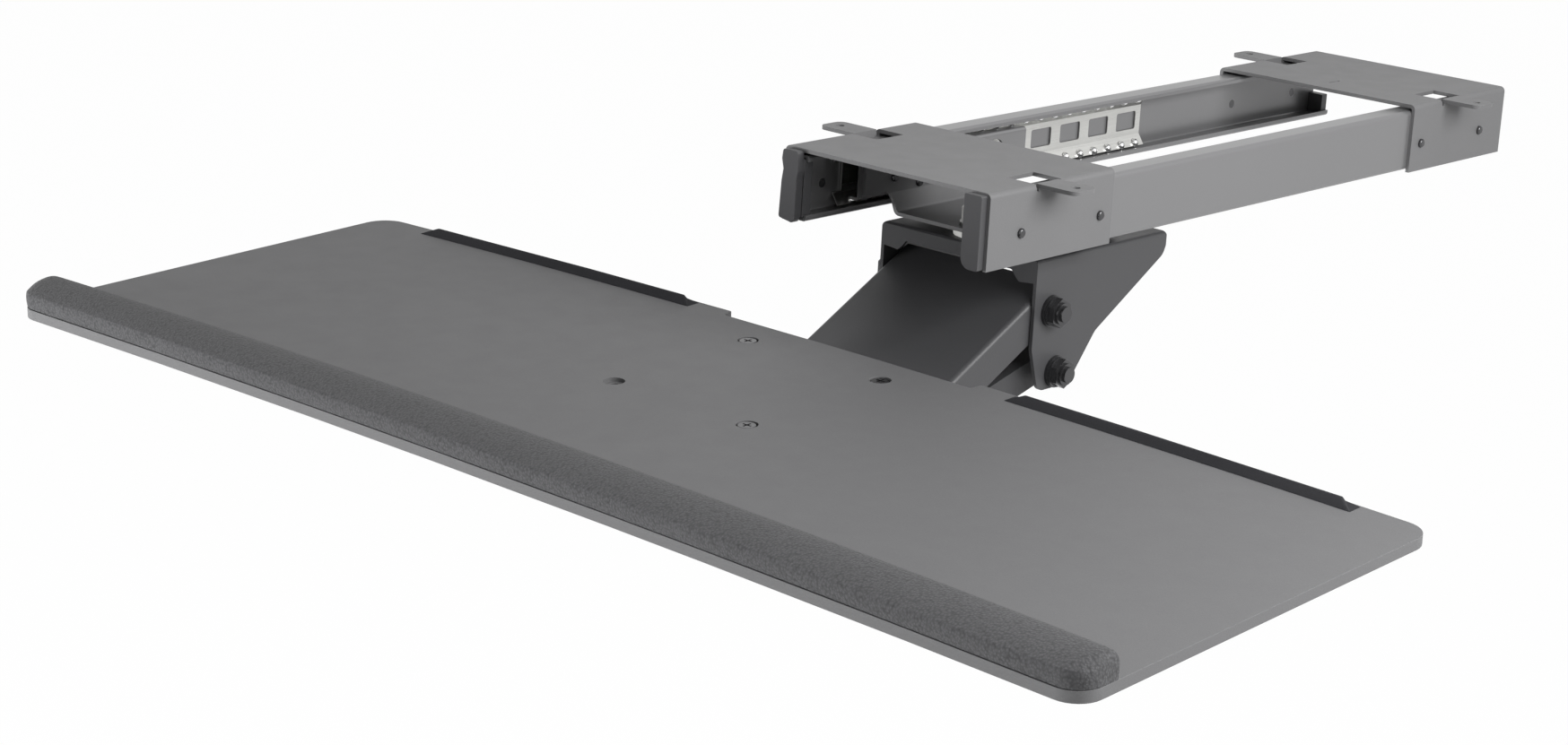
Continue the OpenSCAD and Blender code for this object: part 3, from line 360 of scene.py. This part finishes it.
for nodeName, setting in easedPieces.items():
    words = nodeName.split("_")
    pieceName = words[0] + "".join(word.capitalize() for word in words[1:])
    mesh = mergedCopy(nodeName)
    easeEdges(mesh, setting["width"], setting["segments"])
    piece = finishPiece(mesh, pieceName, nodeName, flatArea=setting.get("flatArea", shadeAll))
    flatFaces = piece.modifiers.new("flatFaces", "WEIGHTED_NORMAL")
    flatFaces.keep_sharp = True
    flatFaces.weight = easing["normalWeight"]
    print("eased", pieceName)


# Palm rest: moulded foam, subdivided from its node, with its ridges held by creases

palmRest = {"levels": 2, "crease": 0.88, "creaseAngle": 32, "joinAngle": 25, "joinShape": 60,
            "smoothAngle": 75, "fill": 0.9}


def makePalmRest():
    mesh = mergedCopy("palm_rest")
    bmesh.ops.join_triangles(mesh, faces=mesh.faces,
                             angle_face_threshold=radians(palmRest["joinAngle"]),
                             angle_shape_threshold=radians(palmRest["joinShape"]))
    creases = mesh.edges.layers.float.new("crease_edge")
    for edge in mesh.edges:
        if edge.calc_face_angle(0) > radians(palmRest["creaseAngle"]):
            edge[creases] = palmRest["crease"]
    piece = finishPiece(mesh, "palmRest", "palm_rest", smoothAngle=palmRest["smoothAngle"])
    subdivide = piece.modifiers.new("smoothSkin", "SUBSURF")
    subdivide.levels = palmRest["levels"]
    subdivide.render_levels = palmRest["levels"]


makePalmRest()
print("palm rest made")


# Camera at the photograph's place

view = {"place": (0.94826, -1.34847, 0.32329), "turn": 41.994, "rise": 16.243, "roll": 3.008,
        "focal": 3509.62, "frameWidth": 1748, "sensor": 36.0, "nearest": 0.01, "farthest": 60}


def makeCamera():
    turn, rise, roll = (radians(view[key]) for key in ("turn", "rise", "roll"))
    back = Vector((sin(turn) * cos(rise), -cos(turn) * cos(rise), sin(rise)))
    level = Vector((cos(turn), sin(turn), 0))
    upright = back.cross(level)
    right = level * cos(roll) + upright * sin(roll)
    up = upright * cos(roll) - level * sin(roll)
    data = bpy.data.cameras.new("camera")
    data.sensor_width = view["sensor"]
    data.lens = view["focal"] / view["frameWidth"] * view["sensor"]
    data.clip_start = view["nearest"]
    data.clip_end = view["farthest"]
    camera = bpy.data.objects.new("camera", data)
    rotation = Matrix((right, up, back)).transposed().to_4x4()
    camera.matrix_world = Matrix.Translation(view["place"]) @ rotation
    scene.collection.objects.link(camera)
    scene.camera = camera


makeCamera()
print("camera placed")


# Floor, world and lamps

studio = {"floorDrop": 0.72, "floorSize": 30.0, "floorTone": 0.9, "floorRoughness": 0.9,
          "floorSpecular": 0.1, "floorGlow": 0.98, "worldLight": 0.4, "whiteLevel": 1.0}
white = (1, 1, 1, 1)


def makeFloor():
    mesh = bmesh.new()
    bmesh.ops.create_grid(mesh, x_segments=1, y_segments=1, size=studio["floorSize"] / 2,
                          matrix=Matrix.Translation((0, 0, -studio["floorDrop"])))
    data = bpy.data.meshes.new("floor")
    mesh.to_mesh(data)
    mesh.free()
    floor = bpy.data.objects.new("floor", data)
    scene.collection.objects.link(floor)
    material = bpy.data.materials.new("paleFloor")
    material.use_nodes = True
    tree = material.node_tree
    shader = tree.nodes["Principled BSDF"]
    shader.inputs["Base Color"].default_value = (*[studio["floorTone"]] * 3, 1)
    shader.inputs["Roughness"].default_value = studio["floorRoughness"]
    shader.inputs["Specular IOR Level"].default_value = studio["floorSpecular"]
    glow = tree.nodes.new("ShaderNodeEmission")
    glow.inputs["Color"].default_value = white
    glow.inputs["Strength"].default_value = studio["whiteLevel"]
    rays = tree.nodes.new("ShaderNodeLightPath").outputs
    seen = math(tree, "MAXIMUM", rays["Is Camera Ray"], rays["Is Glossy Ray"])
    mix = tree.nodes.new("ShaderNodeMixShader")
    tree.links.new(math(tree, "MULTIPLY", seen, studio["floorGlow"]), mix.inputs[0])
    tree.links.new(shader.outputs[0], mix.inputs[1])
    tree.links.new(glow.outputs[0], mix.inputs[2])
    tree.links.new(mix.outputs[0], tree.nodes["Material Output"].inputs["Surface"])
    data.materials.append(material)


def makeWorld():
    world = bpy.data.worlds.new("studio")
    scene.world = world
    world.use_nodes = True
    tree = world.node_tree
    base = tree.nodes["Background"]
    base.inputs["Color"].default_value = white
    base.inputs["Strength"].default_value = studio["worldLight"]
    bright = tree.nodes.new("ShaderNodeBackground")
    bright.inputs["Color"].default_value = white
    bright.inputs["Strength"].default_value = studio["whiteLevel"]
    rays = tree.nodes.new("ShaderNodeLightPath").outputs
    seen = math(tree, "MAXIMUM", rays["Is Camera Ray"],
                math(tree, "MAXIMUM", rays["Is Glossy Ray"], rays["Is Transmission Ray"]))
    mix = tree.nodes.new("ShaderNodeMixShader")
    tree.links.new(seen, mix.inputs[0])
    tree.links.new(base.outputs[0], mix.inputs[1])
    tree.links.new(bright.outputs[0], mix.inputs[2])
    tree.links.new(mix.outputs[0], tree.nodes["World Output"].inputs["Surface"])


# Only a mirrored lamp shows in reflections
lamps = {
    "overheadLamp": {"place": (0.6, 0.1, 1.6), "aim": (0, -0.1, 0), "size": 1.4, "power": 7},
    "frontLamp": {"place": (-1.1, -1.7, -0.3), "aim": (-0.2, -0.45, -0.1), "size": 0.6,
                  "power": 60},
    "rightLamp": {"place": (0.9, 0.05, 0.42), "aim": (0.05, -0.1, -0.03), "size": 0.45,
                  "power": 10.5, "mirrored": True},
    "boardLamp": {"place": (0.75, -0.42, 0.35), "aim": (0.2, -0.4, -0.1), "size": 0.4,
                  "power": 6},
}


def makeLamp(name, lamp):
    data = bpy.data.lights.new(name, "AREA")
    data.shape = "SQUARE"
    data.size = lamp["size"]
    data.energy = lamp["power"]
    item = bpy.data.objects.new(name, data)
    toward = Vector(lamp["aim"]) - Vector(lamp["place"])
    item.rotation_euler = toward.to_track_quat("-Z", "Y").to_euler()
    item.location = lamp["place"]
    item.visible_glossy = lamp.get("mirrored", False)
    scene.collection.objects.link(item)


makeFloor()
makeWorld()
for lampName, lamp in lamps.items():
    makeLamp(lampName, lamp)
scene.view_settings.view_transform = "Standard"
print("studio made")
